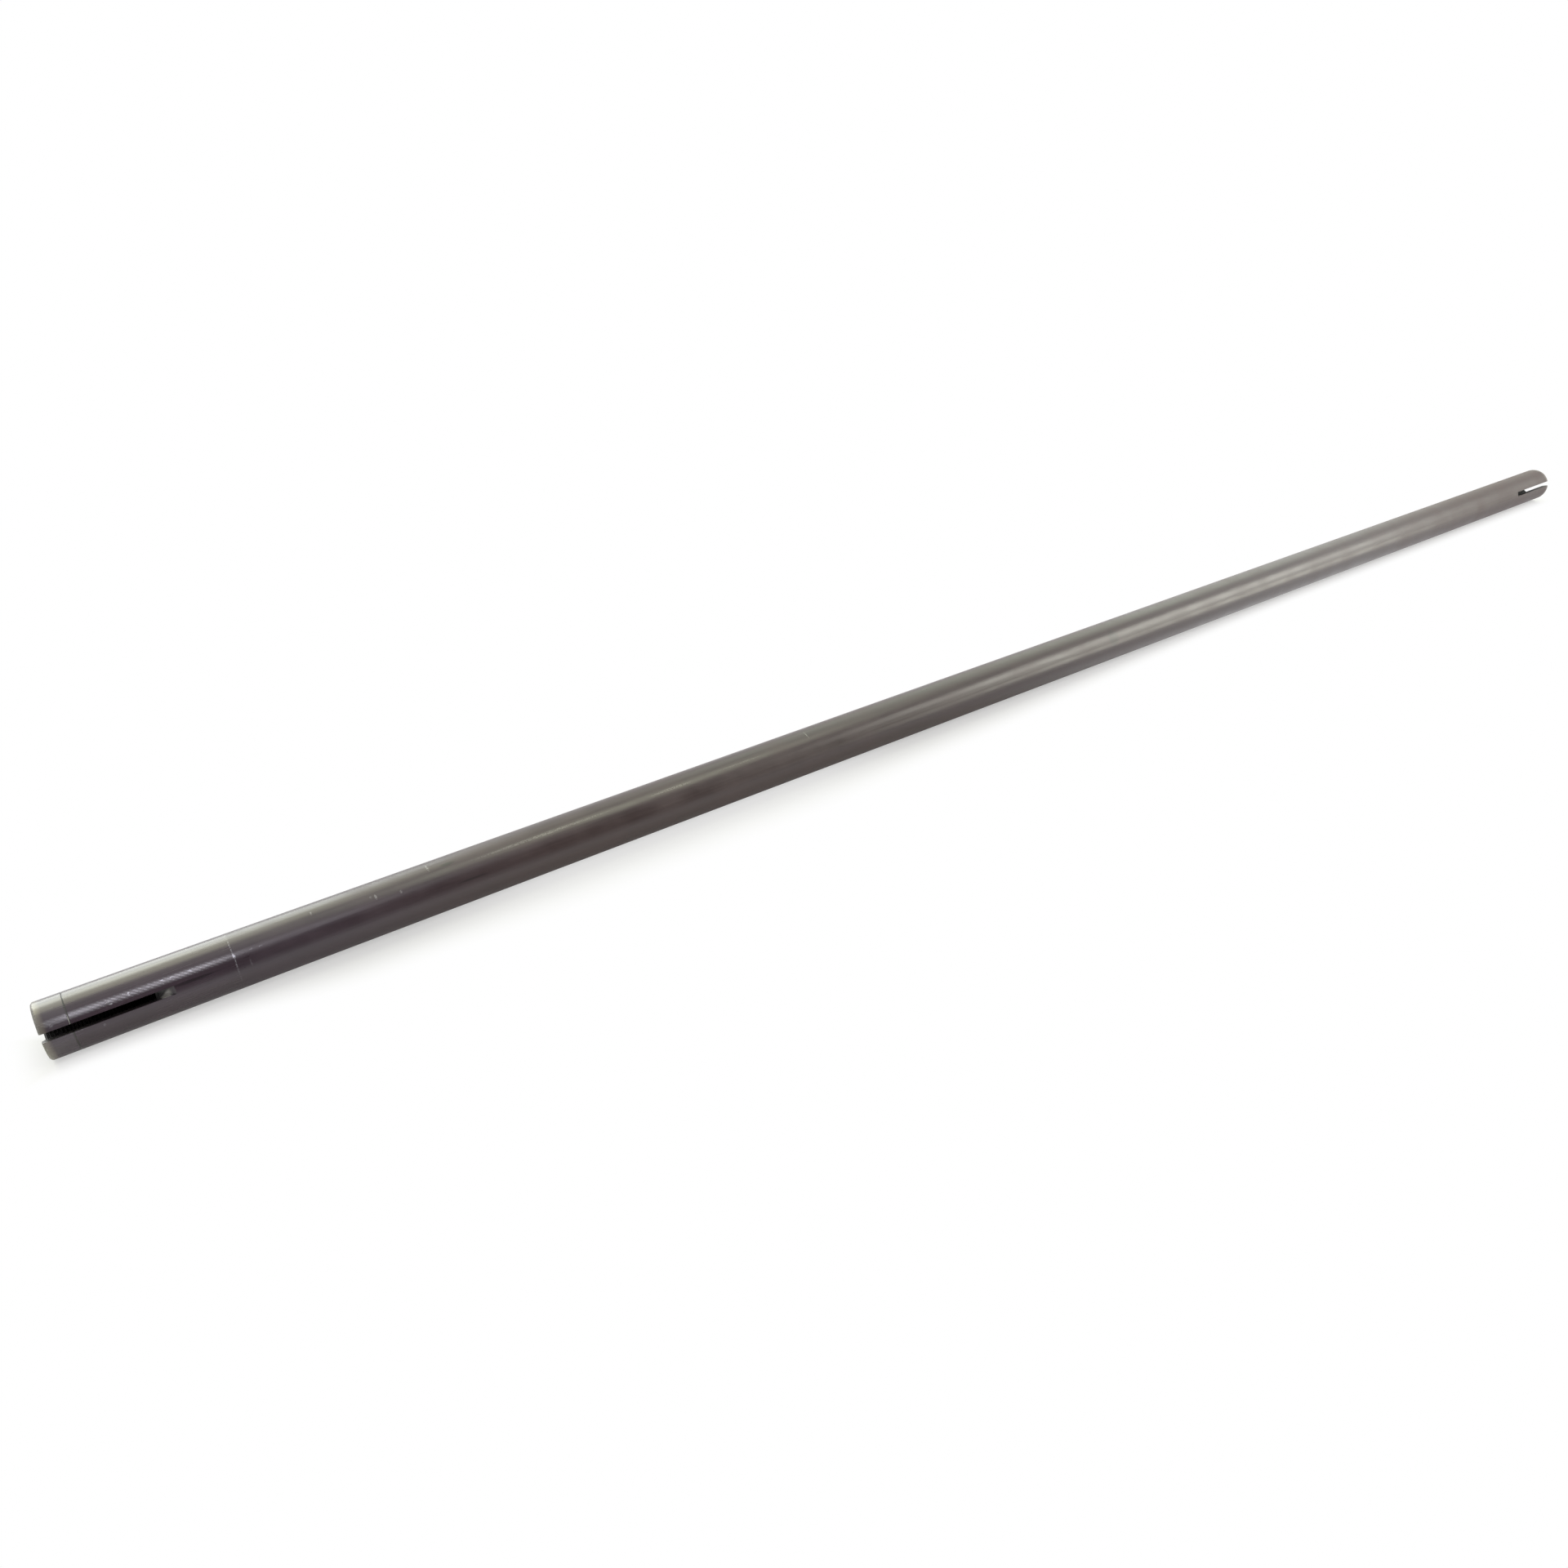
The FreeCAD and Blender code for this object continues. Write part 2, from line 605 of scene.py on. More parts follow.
@dataclass(frozen=True)
class DarkSteelFinish:
    """Thin dark oxide over drawn steel, streaked along the tube and oiled.

    The first stretch at the left end is turned smooth and has its own tint, and the right end grows
    dull, with a lighter skin there that is a painted haze of light. Colours are linear, sizes and
    heights are in millimetres, and angles are in degrees up from level. Of the fades, oily is
    measured from the left end, dull from the right end, turned_edge from the inner end of the turned
    stretch, tinted_off_rim from the nearer end, inner by the depth under the outer radius and the
    groove's painted shade from the groove. The inside colour is painted shade, laid into the bore,
    the slots and the groove. The tone and roughness values say how much each noise changes the
    skin's brightness and roughness, and turned_flattening how much of the waves and streaks the
    turning took away.
    """

    length: float
    outside: float
    groove_place: float
    left_slot_angle: float
    right_slot_angle: float
    skin: Colour = (0.046, 0.027, 0.029)
    skin_end: Colour = (0.041, 0.026, 0.039)
    # The right end's skin, lighter than the rest: a painted haze of light over the dull steel
    skin_dull_and_painted_haze: Colour = (0.082, 0.056, 0.058)
    # Bare steel's colour, in the worn marks and in the painted highlights drawn as bare steel
    bare: Colour = (0.55, 0.53, 0.50)
    # Bare steel at the left end, tinted blue so that it paints the lavender of the highlight there
    bare_end_and_highlight_tint: Colour = (0.52, 0.51, 0.60)
    # Painted shade: the dark colour laid into the bore, the slots and the fine groove
    inside: Colour = (0.022, 0.019, 0.020)
    refraction: float = 1.60
    drawn_roughness: float = 0.34
    turned_roughness: float = 0.26
    dull_roughness: float = 0.52
    bare_metallic: float = 0.4
    oil: float = 0.5
    oily: Fade = Fade(450.0, 850.0)
    oil_roughness: float = 0.5
    oiled_roughening: float = 0.06
    turned_length: float = 75.7
    turned_edge: Fade = Fade(0.6, -0.6)
    tinted_length: float = 250.0
    tinted_off_rim: Fade = Fade(2.0, 4.0)
    dull: Fade = Fade(330.0, 60.0)
    inner: Fade = Fade(0.6, 1.4)
    # Painted shade in the fine groove near the left end, and how blotches break it up
    groove_shade: Fade = Fade(0.5, 0.2)
    groove_shade_blotches: Fade = Fade(0.3, 0.5)
    waves: Pattern = Pattern((80.0, 6.0, 6.0))
    streaks: Pattern = Pattern((45.0, 0.9, 0.9), detail=4.0, roughness=0.6)
    blotches: Pattern = Pattern((22.0, 7.0, 7.0), detail=3.0, roughness=0.6)
    bands: Pattern = Pattern((16.0, 30.0, 30.0), detail=3.0, roughness=0.6)
    turning: Pattern = Pattern((0.3, 6.0, 6.0))
    grain: Pattern = Pattern((0.5, 0.5, 0.5))
    blotch_tone: float = 0.36
    streak_tone: float = 0.4
    band_tone: float = 0.4
    blotch_roughness: float = 0.12
    streak_roughness: float = 0.10
    band_roughness: float = 0.24
    wave_height: float = 0.12
    streak_height: float = 0.03
    turning_height: float = 0.01
    grain_height: float = 0.006
    turned_flattening: float = 0.7
    broken: Fade = Fade(0.35, 0.6)
    nicks: tuple[Mark, ...] = (
        Mark(5.0, 46.0, 2.4, 3.4, 0.35),
        Mark(27.1, 44.3, 1.4, 1.0, 0.9),
        Mark(26.4, 49.0, 1.6, 1.0, 0.4),
        Mark(34.3, 50.3, 1.2, 2.2, 0.8),
        Mark(47.1, 53.0, 1.4, 0.7, 0.9),
        Mark(50.7, 52.0, 1.2, 0.7, 0.6),
        Mark(58.3, 52.0, 1.4, 0.9, 1.0),
        Mark(10.0, 17.5, 17.0, 1.0, 0.14),
        Mark(22.5, 10.0, 1.2, 1.6, 0.15),
        Mark(81.4, 26.0, 0.8, 4.0, 0.12),
        Mark(83.2, 51.0, 2.0, 0.8, 0.25),
        Mark(87.0, 50.0, 2.0, 0.8, 0.25),
        Mark(111.0, 80.0, 1.0, 2.4, 0.3),
        Mark(136.9, 67.0, 1.2, 1.4, 0.2),
        Mark(139.0, 64.0, 1.2, 3.0, 0.4),
        Mark(150.1, 56.0, 1.4, 1.8, 0.28),
        Mark(165.6, 92.0, 1.2, 6.0, 0.42),
        Mark(222.0, 68.0, 76.0, 1.8, 0.2),
        Mark(295.0, 67.0, 26.0, 1.8, 0.2),
        Mark(338.0, 69.0, 30.0, 1.2, 0.1),
        Mark(383.7, 82.0, 0.9, 6.0, 0.4),
    )
    stains_and_painted_reflection: tuple[Mark, ...] = (
        # Painted dark reflection: the dark streak that the tube mirrors beside the left slot
        Mark(58.0, 33.0, 22.0, 1.6, 0.5),
        Mark(183.0, 30.0, 16.0, 1.2, 0.5),
        Mark(626.0, 42.0, 10.0, 12.0, 0.5),
        Mark(174.7, 81.0, 8.0, 2.4, 0.7),
    )

    def material(self) -> bpy.types.Material:
        """Build the material.

        Returns:
            The finished dark steel material.
        """
        graph = Graph(bpy.data.materials.new("dark_steel"))
        surface = Surface.measure(graph, self.length, self.outside, self.grain)
        waves = graph.noise(surface.place, self.waves)
        streaks = graph.noise(surface.place, self.streaks)
        blotches = graph.noise(surface.place, self.blotches)
        bands = graph.noise(surface.place, self.bands)
        turning = graph.noise(surface.place, self.turning)

        turned = graph.ramp(surface.from_left - self.turned_length, self.turned_edge)
        dull = graph.ramp(surface.from_right, self.dull)
        tinted = graph.ramp(surface.from_left, Fade(self.tinted_length, self.turned_length))
        tinted *= graph.ramp(surface.from_end, self.tinted_off_rim)
        oily = graph.ramp(surface.from_left, self.oily)
        # Where the painted shade of the bore and the slots goes, by depth under the outer radius
        inner = graph.ramp(surface.depth, self.inner)
        # Painted shade in the fine groove near the left end
        groove_shade = self.paint_groove_shade(surface, blotches)
        # Worn steel together with the painted highlights drawn as bare steel: the chatter strip, the saw
        # run-outs, the first stretch and the ring's upper part
        bare = self.wear_and_painted_highlights(surface) * (1.0 - groove_shade)

        # Towards the right end the skin turns lighter, a painted haze of light over the dull steel
        skin = graph.mix(graph.mix(self.skin, self.skin_end, tinted), self.skin_dull_and_painted_haze, dull)
        tone = 1.0 + graph.swing(blotches, self.blotch_tone)
        tone *= 1.0 + graph.swing(streaks, self.streak_tone)
        # The dark marks darken the skin: stained patches, and one painted dark reflection beside the left
        # slot
        tone *= (1.0 + graph.swing(bands, self.band_tone)) * (1.0 - self.dirt_and_painted_reflection(surface))
        # Painted shade: the inside colour over the bore, the slots and the fine groove
        colour = graph.mix(graph.scale(skin, tone), self.inside, graph.most(inner, groove_shade))
        # Bare marks at the left end take the blue tint of the painted highlight
        metal = graph.mix(self.bare, self.bare_end_and_highlight_tint, tinted * (1.0 - inner))

        smoother = (self.drawn_roughness - self.turned_roughness) * turned
        duller = (self.dull_roughness - self.drawn_roughness) * dull
        uneven = graph.swing(blotches, self.blotch_roughness) + graph.swing(streaks, self.streak_roughness)
        uneven += graph.swing(bands, self.band_roughness) * (1.0 - turned) + self.oiled_roughening * oily

        drawn_height = self.wave_height * waves + self.streak_height * streaks
        height = drawn_height * (1.0 - self.turned_flattening * turned)
        height += self.turning_height * turning * turned + self.grain_height * surface.grain
        bump = graph.node("ShaderNodeBump", {"Strength": 1.0, "Distance": MM, "Height": height})
        inputs = {
            "Base Color": graph.mix(colour, metal, bare),
            "Roughness": self.drawn_roughness - smoother + duller + uneven,
            "Metallic": self.bare_metallic * bare,
            "IOR": self.refraction,
            "Coat Weight": self.oil * oily * (1.0 - dull),
            "Coat Roughness": self.oil_roughness,
            "Normal": bump.outputs[0],
        }
        shader = graph.node("ShaderNodeBsdfPrincipled", inputs)
        graph.node("ShaderNodeOutputMaterial", {"Surface": shader.outputs[0]})
        return graph.owner

    def wear_and_painted_highlights(self, surface: Surface) -> Value:
        """Gather all the marks that show bare steel: worn steel, and the painted highlights drawn as bare
        steel.

        Args:
            surface: The measured surface.

        Returns:
            How much bare metal shows, from 0 to 1.
        """
        graph = surface.graph
        return graph.most(
            ScribedRing(self.turned_length).draw(surface),
            RubbedEndsAndFirstHighlight(self.groove_place).draw(surface),
            ChatterAndHighlightStrip().draw(surface),
            SawRunOut(self.left_slot_angle, self.right_slot_angle).draw(surface),
            *(nick.draw(surface) * graph.ramp(surface.grain, self.broken) for nick in self.nicks),
        )

    def dirt_and_painted_reflection(self, surface: Surface) -> Value:
        """Return how much of the skin's light the dark marks take, from 0 to 1: stained patches, and one
        painted dark reflection.
        """
        return surface.graph.most(*(stain.draw(surface) for stain in self.stains_and_painted_reflection))

    def paint_groove_shade(self, surface: Surface, blotches: Value) -> Value:
        """Mark the painted shade in the fine groove near the left end.

        Args:
            surface: The measured surface.
            blotches: Soft noise that thins the painted shade here and there.

        Returns:
            How dark the groove is, from 0 to 1.
        """
        graph = surface.graph
        near = graph.ramp(abs(surface.from_left - self.groove_place), self.groove_shade)
        return near * graph.ramp(blotches, self.groove_shade_blotches)


@dataclass(frozen=True)
class PaleFloorFinish:
    """A white sweep that takes the object's shadow and is bleached to plain white a little way off.

    Places are in millimetres, along the tube from its middle or off its axis.

    Attributes:
        paint: The paint's colour.
        near_share: How much of the floor shows as plain white beside the tube.
        bleach: How the bleaching grows off the axis.
        mirrored_bleach: The same for the floor's mirror image in the tube.
        left: How the shadow narrows to half towards the left end.
        right: How it narrows to half towards the right end.
        mirrored_narrowing: How much more the mirrored shadow narrows towards the right end.
        past_end: How the floor past the tube's ends bleaches.
        pale_middle: The middle of a stretch beside which the shadow is paler and wider.
        pale: How that stretch ends to both sides of its middle.
        pale_share: How much more of the floor shows as plain white there.
        pale_widening: How much less the shadow narrows there.
    """

    paint: Colour = (0.9, 0.9, 0.9)
    near_share: float = 0.47
    bleach: Fade = Fade(8.0, 34.0)
    mirrored_bleach: Fade = Fade(8.0, 60.0)
    left: Fade = Fade(-460.0, -590.0)
    right: Fade = Fade(-150.0, 250.0)
    mirrored_narrowing: float = 5.0
    past_end: Fade = Fade(584.0, 606.0)
    pale_middle: float = -285.0
    pale: Fade = Fade(165.0, 66.0)
    pale_share: float = 0.16
    pale_widening: float = 0.15

    def material(self) -> bpy.types.Material:
        """Build the material.

        Returns:
            The finished floor material.
        """
        graph = Graph(bpy.data.materials.new("pale_floor"))
        coordinates = graph.node("ShaderNodeTexCoord")
        split = graph.node("ShaderNodeSeparateXYZ", {0: coordinates.outputs["Object"]})
        off_axis = abs(graph.value(split, "Y")) / MM
        along = graph.value(split, "X") / MM
        left = graph.ramp(along, self.left)
        right = graph.ramp(along, self.right)
        pale = graph.ramp(abs(along - self.pale_middle), self.pale)
        past_end = graph.ramp(abs(along), self.past_end)

        narrowing = 1.0 + left + right - self.pale_widening * pale
        bleached = graph.ramp(off_axis * narrowing, self.bleach)
        beside = self.near_share + self.pale_share * pale
        straight = beside + (1.0 - beside) * graph.most(bleached, past_end)
        narrowing = 1.0 + self.mirrored_narrowing * right
        mirrored = graph.ramp(off_axis * narrowing, self.mirrored_bleach)
        share = graph.most(straight * graph.seen_straight(), mirrored * graph.seen_otherwise())

        paint = graph.node("ShaderNodeBsdfDiffuse", {"Color": self.paint})
        plain = graph.node("ShaderNodeEmission", {"Color": WHITE, "Strength": 1.0})
        both = graph.node("ShaderNodeMixShader", {0: share, 1: paint.outputs[0], 2: plain.outputs[0]})
        graph.node("ShaderNodeOutputMaterial", {"Surface": both.outputs[0]})
        return graph.owner


def deselect_all() -> None:
    """Leave object mode with nothing selected, so that an operator touches only what comes next."""
    if bpy.context.object and bpy.context.object.mode != "OBJECT":
        bpy.ops.object.mode_set(mode="OBJECT")
    bpy.ops.object.select_all(action="DESELECT")


def pick(piece: Piece) -> None:
    """Make an object the only selected and the active one.

    Args:
        piece: The object.
    """
    deselect_all()
    piece.select_set(True)
    bpy.context.view_layer.objects.active = piece


def place_in_mesh(piece: Piece) -> None:
    """Move an object's place, turn and scale into its mesh, which leaves it at the origin."""
    pick(piece)
    bpy.ops.object.transform_apply(location=True, rotation=True, scale=True)


def start_editing(piece: Piece, select: str) -> None:
    """Open one object in edit mode.

    Args:
        piece: The object.
        select: SELECT or DESELECT, for all of its mesh.
    """
    pick(piece)
    bpy.ops.object.mode_set(mode="EDIT")
    bpy.ops.mesh.select_all(action=select)


def edit_edges(piece: Piece, chosen: Callable[[Vector], bool]) -> None:
    """Open one object in edit mode with some of its edges selected.

    Args:
        piece: The object.
        chosen: Whether a corner counts; an edge is selected where both of its corners do.
    """
    start_editing(piece, "DESELECT")
    bpy.ops.mesh.select_mode(type="EDGE")
    bpy.ops.object.mode_set(mode="OBJECT")
    corners = piece.data.vertices
    for edge in piece.data.edges:
        edge.select = all(chosen(corners[index].co) for index in edge.vertices)
    bpy.ops.object.mode_set(mode="EDIT")


def finish_editing() -> None:
    """Merge doubles, point all faces outwards and go back to object mode."""
    bpy.ops.mesh.select_all(action="SELECT")
    bpy.ops.mesh.remove_doubles(threshold=JOINED)
    bpy.ops.mesh.normals_make_consistent(inside=False)
    bpy.ops.object.mode_set(mode="OBJECT")


def lathe(name: str, stations: Sequence[tuple[float, float]], segments: int) -> Piece:
    """Draw a ring of wall by extruding a circle from station to station and bridging it to its start.

    Args:
        name: The new object's name.
        stations: Places along X with a radius each, once round the wall's section.
        segments: How many edges the circle has.

    Returns:
        A closed mesh.
    """
    deselect_all()
    start_x, start_radius = stations[0]
    bpy.ops.mesh.primitive_circle_add(
        vertices=segments,
        radius=start_radius,
        location=(start_x, 0.0, 0.0),
        rotation=(0.0, QUARTER_TURN, 0.0),
    )
    piece = bpy.context.object
    piece.name = name
    place_in_mesh(piece)
    start_editing(piece, "SELECT")
    for (x, radius), (next_x, next_radius) in pairwise(stations):
        bpy.ops.mesh.extrude_region_move(TRANSFORM_OT_translate={"value": (next_x - x, 0.0, 0.0)})
        grow = next_radius / radius
        bpy.ops.transform.resize(value=(1.0, grow, grow), center_override=(next_x, 0.0, 0.0))
    bpy.ops.mesh.select_all(action="DESELECT")
    bpy.ops.mesh.select_non_manifold(extend=False)
    bpy.ops.mesh.bridge_edge_loops()
    finish_editing()
    return piece


def cut_away(piece: Piece, cutter: Piece) -> None:
    """Take one closed mesh out of another, then delete it.

    Args:
        piece: The mesh that is cut.
        cutter: The mesh that is taken out.
    """
    pick(piece)
    cut = piece.modifiers.new("cut", "BOOLEAN")
    cut.operation = "DIFFERENCE"
    cut.solver = "MANIFOLD"
    cut.object = cutter
    bpy.ops.object.modifier_apply(modifier=cut.name)
    bpy.data.objects.remove(cutter, do_unlink=True)


@dataclass
class TieRodTube:
    """The tube: a drawn wall, tapped inside at both ends and sawn through on one side of each end.

    All sizes are in metres and all angles in radians. What the frame states is read from it, and the
    rest is named here. The thread's cutter starts by thread_lead_in outside the end and reaches in
    past the crests by crest_overlap, and the saw is fed in past the wall by slot_overlap.
    """

    half_length: float
    outside_radius: float
    pitch_radius: float
    thread_length: float
    bore_radius: float = 7.9375 * MM
    thread_pitch: float = 25.4 / 18 * MM
    thread_lead_in: float = 2.1 * MM
    crest_overlap: float = 0.2 * MM
    outer_chamfer: float = 0.8 * MM
    chamfer_rounding: float = 0.25 * MM
    rounding_segments: int = 2
    mouth_clearance: float = 0.25 * MM
    slot_width: float = 3.7 * MM
    slot_length: float = 50.8 * MM
    slot_overlap: float = 3.0 * MM
    left_slot_angle: float = 26.5 * DEGREE
    right_slot_angle: float = 23.0 * DEGREE
    saw_radius: float = 38.1 * MM
    saw_segments: int = 256
    groove_place: float = 11.55 * MM
    groove_width: float = 0.5 * MM
    groove_depth: float = 0.12 * MM
    segments: int = 200
    thread_segments: int = 64
    smooth_angle: float = 24.0 * DEGREE
    piece: Piece = field(init=False)

    @classmethod
    def from_frame(cls) -> "TieRodTube":
        """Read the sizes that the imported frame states.

        Returns:
            A tube with the frame's length, radii and tapped length.
        """
        low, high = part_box("tube")
        half_length = (high[0] - low[0]) / 2
        thread = mount("thread_right_hand")
        tapped_from = thread["pos_m"][0] - thread["dims"]["length_mm"] / 2 * MM
        return cls(
            half_length=half_length,
            outside_radius=mount("outside_diameter")["dims"]["r_mm"] * MM,
            pitch_radius=thread["dims"]["r_mm"] * MM,
            thread_length=half_length - tapped_from,
        )

    @property
    def length(self) -> float:
        """The whole length."""
        return 2 * self.half_length

    @property
    def sharp_height(self) -> float:
        """The height of the sharp 60 degree triangle that the thread's form is cut from."""
        return SHARP_HEIGHT * self.thread_pitch

    @property
    def major_radius(self) -> float:
        """The radius at the thread's roots, the widest place inside."""
        return self.pitch_radius + ROOT_HEIGHT * self.sharp_height

    @property
    def minor_radius(self) -> float:
        """The radius at the thread's crests, left flat by the tapping drill."""
        return self.pitch_radius - CREST_HEIGHT * self.sharp_height

    def build(self) -> None:
        """Model the whole tube."""
        self.piece = lathe("tie_rod_tube", self.section(), self.segments)
        self.round_chamfers()
        for end in End:
            cut_away(self.piece, self.thread_cutter(end))
            cut_away(self.piece, self.slot_cutter(end))
        start_editing(self.piece, "SELECT")
        finish_editing()
        bpy.ops.object.shade_smooth_by_angle(angle=self.smooth_angle)

    def section(self) -> list[tuple[float, float]]:
        """List the stations once round the wall's section, out from the left end face and back inside.

        Returns:
            Places along X with a radius each.
        """
        end = self.half_length
        rim = [
            (end, self.outside_radius - self.outer_chamfer),
            (end - self.outer_chamfer, self.outside_radius),
        ]
        groove = [
            (end - self.groove_place + self.groove_width / 2, self.outside_radius),
            (end - self.groove_place, self.outside_radius - self.groove_depth),
            (end - self.groove_place - self.groove_width / 2, self.outside_radius),
        ]
        mouth = self.major_radius + self.mouth_clearance
        inside = [
            (end, mouth),
            (end - (mouth - self.minor_radius), self.minor_radius),
            (end - self.thread_length, self.minor_radius),
            (end - self.thread_length - (self.minor_radius - self.bore_radius), self.bore_radius),
        ]
        left_outside = [(-x, radius) for x, radius in rim + groove]
        left_inside = [(-x, radius) for x, radius in reversed(inside)]
        return left_outside + rim[::-1] + inside + left_inside

    def round_chamfers(self) -> None:
        """Break the two edges of each outer chamfer, as tumbling and handling leave them."""
        near = 0.02 * MM
        rings = (
            (self.half_length, self.outside_radius - self.outer_chamfer),
            (self.half_length - self.outer_chamfer, self.outside_radius),
        )

        def on_ring(corner: Vector) -> bool:
            """Tell whether a corner lies on an edge of either chamfer."""
            radius = math.hypot(corner.y, corner.z)
            return any(abs(abs(corner.x) - x) < near and abs(radius - r) < near for x, r in rings)

        edit_edges(self.piece, on_ring)
        bpy.ops.mesh.bevel(
            offset=self.chamfer_rounding,
            segments=self.rounding_segments,
            affect="EDGES",
        )
        bpy.ops.object.mode_set(mode="OBJECT")

    def thread_cutter(self, end: End) -> Piece:
        """Draw one groove's section and screw it along the tube.

        Args:
            end: The end that the thread is cut in.

        Returns:
            The closed helical cutter.
        """
        turns = math.ceil((self.thread_length + self.thread_lead_in) / self.thread_pitch)
        travel = turns * self.thread_pitch
        outermost = self.half_length + self.thread_lead_in
        start_x = -outermost if end is End.LEFT else outermost - travel
        base_radius = self.minor_radius - self.crest_overlap
        height = self.major_radius - base_radius
        root_width = ROOT_WIDTH * self.thread_pitch
        base_width = root_width + 2 * height * math.tan(FLANK_ANGLE)
        middle_z = base_radius + height / 2
        middle = (start_x, 0.0, middle_z)
        deselect_all()
        bpy.ops.mesh.primitive_plane_add(size=1.0, location=middle, rotation=(QUARTER_TURN, 0.0, 0.0))
        cutter = bpy.context.object
        cutter.name = f"thread_cutter_{end.name.lower()}"
        place_in_mesh(cutter)
        start_editing(cutter, "SELECT")
        bpy.ops.transform.resize(value=(base_width, 1.0, height), center_override=middle)
        edit_edges(cutter, lambda corner: corner.z > middle_z)
        narrowing = root_width / base_width
        bpy.ops.transform.resize(value=(narrowing, 1.0, 1.0), center_override=middle)
        bpy.ops.mesh.select_all(action="SELECT")
        bpy.ops.mesh.delete(type="ONLY_FACE")
        bpy.ops.object.mode_set(mode="OBJECT")
        screw = cutter.modifiers.new("screw", "SCREW")
        screw.axis = "X"
        screw.angle = math.tau * end.turn
        screw.screw_offset = self.thread_pitch
        screw.iterations = turns
        screw.steps = self.thread_segments
        screw.render_steps = self.thread_segments
        bpy.ops.object.modifier_apply(modifier=screw.name)
        start_editing(cutter, "SELECT")
        bpy.ops.mesh.remove_doubles(threshold=TURNS_JOINED)
        bpy.ops.mesh.select_all(action="DESELECT")
        bpy.ops.mesh.select_non_manifold(extend=False)
        bpy.ops.mesh.edge_face_add()
        finish_editing()
        return cutter

    def slot_cutter(self, end: End) -> Piece:
        """Draw the saw as a disc and stretch its outer half out past the end.

        Args:
            end: The end that is sawn.

        Returns:
            The closed cutter, turned to the slot's angle.
        """
        depth = self.outside_radius - self.bore_radius + self.slot_overlap
        reach = math.sqrt(self.saw_radius**2 - (self.saw_radius - depth) ** 2)
        hub_x = self.half_length - self.slot_length + reach
        hub_z = self.outside_radius - depth + self.saw_radius
        travel = self.half_length + self.saw_radius - hub_x
        deselect_all()
        bpy.ops.mesh.primitive_cylinder_add(
            vertices=self.saw_segments,
            radius=self.saw_radius,
            depth=self.slot_width,
            location=(end.side * hub_x, 0.0, hub_z),
            rotation=(QUARTER_TURN, 0.0, 0.0),
        )
        cutter = bpy.context.object
        cutter.name = f"slot_cutter_{end.name.lower()}"
        place_in_mesh(cutter)
        start_editing(cutter, "SELECT")
        bpy.ops.mesh.bisect(
            plane_co=(end.side * hub_x, 0.0, 0.0),
            plane_no=(end.side, 0.0, 0.0),
            clear_outer=True,
            use_fill=True,
        )
        bpy.ops.mesh.extrude_region_move(TRANSFORM_OT_translate={"value": (end.side * travel, 0.0, 0.0)})
        finish_editing()
        slot_angle = self.left_slot_angle if end is End.LEFT else self.right_slot_angle
        cutter.rotation_euler.x = QUARTER_TURN - slot_angle
        place_in_mesh(cutter)
        return cutter

    def finish(self) -> DarkSteelFinish:
        """Lay the dark steel finish out to the tube's own sizes.

        Returns:
            The finish, with the sizes in its own millimetres and degrees.
        """
        return DarkSteelFinish(
            length=self.length / MM,
            outside=self.outside_radius / MM,
            groove_place=self.groove_place / MM,
            left_slot_angle=self.left_slot_angle / DEGREE,
            right_slot_angle=self.right_slot_angle / DEGREE,
        )

    def dress(self, finish: DarkSteelFinish) -> None:
        """Give the tube its finish and tie it to the frame.

        Args:
            finish: The dark steel finish.
        """
        self.piece.data.materials.clear()
        self.piece.data.materials.append(finish.material())
        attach(self.piece, "root")
        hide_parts("tube")


@dataclass(frozen=True)
class SoftLamp:
    """A distant soft lamp.

    Attributes:
        name: The lamp's name.
        azimuth: Compass direction that the light comes from, in degrees from +Y towards +X.
        elevation: Height that the light comes from, in degrees above the floor.
        spread: How wide the lamp looks, in degrees.
        strength: The light that it throws on a face turned to it.
        colour: The light's colour.
    """

    name: str
    azimuth: float
    elevation: float
    spread: float
    strength: float
    colour: Colour = WHITE

    def build(self) -> None:
        """Add the lamp to the scene."""
        light = bpy.data.lights.new(self.name, "SUN")
        light.energy = self.strength
        light.angle = self.spread * DEGREE
        light.color = self.colour
        azimuth = self.azimuth * DEGREE
        elevation = self.elevation * DEGREE
        level = math.cos(elevation)
        towards = Vector((level * math.sin(azimuth), level * math.cos(azimuth), math.sin(elevation)))
        lamp = bpy.data.objects.new(self.name, light)
        lamp.rotation_mode = "QUATERNION"
        lamp.rotation_quaternion = towards.to_track_quat("Z", "Y")
        bpy.context.scene.collection.objects.link(lamp)


